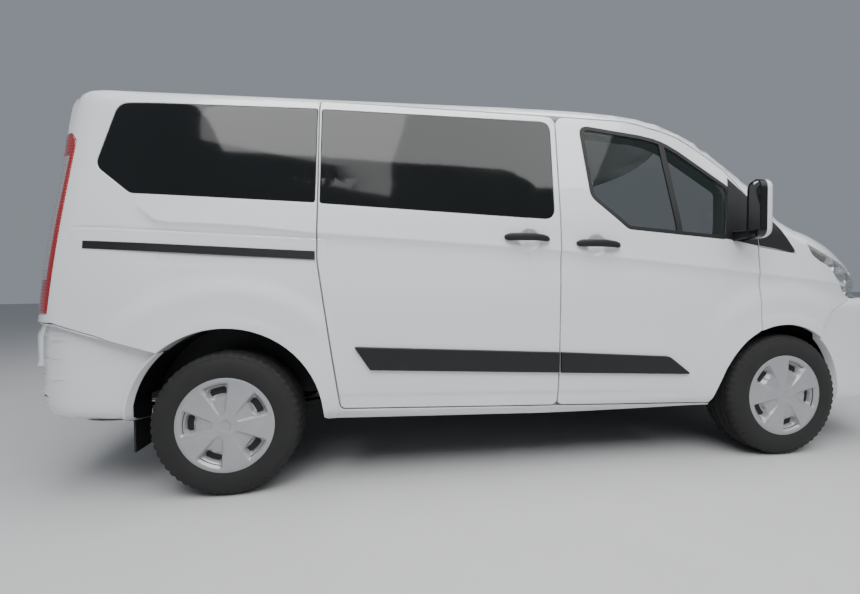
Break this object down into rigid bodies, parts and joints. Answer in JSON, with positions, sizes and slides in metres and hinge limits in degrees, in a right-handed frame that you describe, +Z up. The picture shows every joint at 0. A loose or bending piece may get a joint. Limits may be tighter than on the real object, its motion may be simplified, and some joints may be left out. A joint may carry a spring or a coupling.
{
  "type": "nine-seat minibus",
  "caption": "White short-wheelbase minibus with a low roof, a sliding side door, black privacy glass and a top-hinged tailgate.",
  "frame": {"origin": "on the ground under the middle of the vehicle's length and width", "axes": "+X forward, +Y to the vehicle's left, +Z up"},
  "size_m": [4.973, 2.2696, 1.9789],
  "materials": {
    "paint": "white gloss paint with clear coat",
    "dark_glass": "black privacy glass",
    "clear_glass": "clear laminated glass, faint green",
    "lamp": "clear lamp lens",
    "red_lamp": "red and clear lamp lens",
    "black_plastic": "unpainted black, fine grain",
    "chassis": "black underbody coating",
    "engine_metal": "plain cast block",
    "exhaust_steel": "dull stainless steel",
    "interior_plastic": "dark grey grained plastic",
    "seat_cloth": "dark grey woven cloth",
    "tyre": "black rubber with dust",
    "wheel_cover": "silver-grey satin",
    "strut_black": "satin black",
    "strut_chrome": "polished rod"
  },
  "bodies": {
    "root": {"side_left": "paint", "side_right": "paint", "side_glass": "dark_glass", "sliding_door": "paint", "roof": "paint", "windscreen": "clear_glass", "cowl": "paint", "wing_left": "paint", "wing_right": "paint", "bumper_front": "paint", "grille": "black_plastic", "headlamps": "lamp", "bumper_rear": "paint", "tail_lamps": "red_lamp", "side_trim": "black_plastic", "floor": "chassis", "arch_liners": "black_plastic", "front_frame": "chassis", "rear_axle": "chassis", "dashboard": "interior_plastic", "front_seats": "seat_cloth", "rear_benches": "seat_cloth", "engine": "engine_metal", "fuel_tank": "chassis", "exhaust": "exhaust_steel"},
    "door_left": {"front_door_left": "paint", "door_glass_left": "clear_glass", "door_trim_left": "black_plastic", "mirror_left": "black_plastic"},
    "door_right": {"front_door_right": "paint", "door_glass_right": "clear_glass", "door_trim_right": "black_plastic", "mirror_right": "black_plastic"},
    "bonnet": {"bonnet": "paint"},
    "tailgate": {"tailgate": "paint", "tailgate_glass": "dark_glass"},
    "fuel_flap": {"fuel_flap": "paint"},
    "strut_tube_left": {"strut_tube_left": "strut_black"},
    "strut_tube_right": {"strut_tube_right": "strut_black"},
    "strut_rod_left": {"strut_rod_left": "strut_chrome"},
    "strut_rod_right": {"strut_rod_right": "strut_chrome"},
    "knuckle_left": {"knuckle_left": "chassis"},
    "knuckle_right": {"knuckle_right": "chassis"},
    "steering_wheel": {"steering_wheel": "interior_plastic"},
    "wheel_front_left": {"tyre_front_left": "tyre", "rim_front_left": "wheel_cover"},
    "wheel_front_right": {"tyre_front_right": "tyre", "rim_front_right": "wheel_cover"},
    "wheel_rear_left": {"tyre_rear_left": "tyre", "rim_rear_left": "wheel_cover"},
    "wheel_rear_right": {"tyre_rear_right": "tyre", "rim_rear_right": "wheel_cover"}
  },
  "joints": [
    {"name": "door_left_hinge", "type": "hinge", "parent": "root", "child": "door_left", "pos_m": [1.271, 0.966, 0.7], "axis": [0, 0, -1], "range_deg": [0, 65]},
    {"name": "door_right_hinge", "type": "hinge", "parent": "root", "child": "door_right", "pos_m": [1.271, -0.966, 0.7], "axis": [0, 0, 1], "range_deg": [0, 65]},
    {"name": "bonnet_hinge", "type": "hinge", "parent": "root", "child": "bonnet", "pos_m": [1.815, 0, 1.242], "axis": [0, -1, 0], "range_deg": [0, 55]},
    {"name": "tailgate_hinge", "type": "hinge", "parent": "root", "child": "tailgate", "pos_m": [-2.2, 0, 1.931], "axis": [0, 1, 0], "range_deg": [0, 85]},
    {"name": "fuel_flap_hinge", "type": "hinge", "parent": "root", "child": "fuel_flap", "pos_m": [0.042, 0.971, 0.88], "axis": [0, 0, -1], "range_deg": [0, 90]},
    {"name": "strut_swing_left", "type": "hinge", "parent": "root", "child": "strut_tube_left", "pos_m": [-2.262, 0.732, 1.18], "axis": [0, -1, 0], "range_deg": [0, 20]},
    {"name": "strut_swing_right", "type": "hinge", "parent": "root", "child": "strut_tube_right", "pos_m": [-2.262, -0.732, 1.18], "axis": [0, -1, 0], "range_deg": [0, 20]},
    {"name": "strut_slide_left", "type": "slide", "parent": "strut_tube_left", "child": "strut_rod_left", "axis": [0.1507, 0, 0.9886], "range_m": [0, 0.185]},
    {"name": "strut_slide_right", "type": "slide", "parent": "strut_tube_right", "child": "strut_rod_right", "axis": [0.1507, 0, 0.9886], "range_m": [0, 0.185]},
    {"name": "steer_left", "type": "hinge", "parent": "root", "child": "knuckle_left", "pos_m": [1.4635, 0.745, 0.19], "axis": [0, -0.1309, 0.9914], "range_deg": [-35, 35]},
    {"name": "steer_right", "type": "hinge", "parent": "root", "child": "knuckle_right", "pos_m": [1.4635, -0.745, 0.19], "axis": [0, 0.1309, 0.9914], "range_deg": [-35, 35]},
    {"name": "steering_wheel_turn", "type": "hinge", "parent": "root", "child": "steering_wheel", "pos_m": [0.985, 0.42, 1.085], "axis": [-0.848, 0, 0.5299], "range_deg": [-545, 545]},
    {"name": "wheel_front_left_spin", "type": "hinge", "parent": "knuckle_left", "child": "wheel_front_left", "pos_m": [1.4635, 0.869, 0.336], "axis": [0, 1, 0], "continuous": true},
    {"name": "wheel_front_right_spin", "type": "hinge", "parent": "knuckle_right", "child": "wheel_front_right", "pos_m": [1.4635, -0.869, 0.336], "axis": [0, 1, 0], "continuous": true},
    {"name": "wheel_rear_left_spin", "type": "hinge", "parent": "root", "child": "wheel_rear_left", "pos_m": [-1.4695, 0.869, 0.336], "axis": [0, 1, 0], "continuous": true},
    {"name": "wheel_rear_right_spin", "type": "hinge", "parent": "root", "child": "wheel_rear_right", "pos_m": [-1.4695, -0.869, 0.336], "axis": [0, 1, 0], "continuous": true}
  ],
  "couplings": [
    {"joint": "steer_right", "follows": "steer_left", "ratio": 1},
    {"joint": "steering_wheel_turn", "follows": "steer_left", "ratio": 15.5},
    {"joint": "strut_swing_left", "follows": "tailgate_hinge", "ratio": 0.2286},
    {"joint": "strut_swing_right", "follows": "tailgate_hinge", "ratio": 0.2286},
    {"joint": "strut_slide_left", "follows": "tailgate_hinge", "m_per_rad": 0.11259},
    {"joint": "strut_slide_right", "follows": "tailgate_hinge", "m_per_rad": 0.11259}
  ]
}
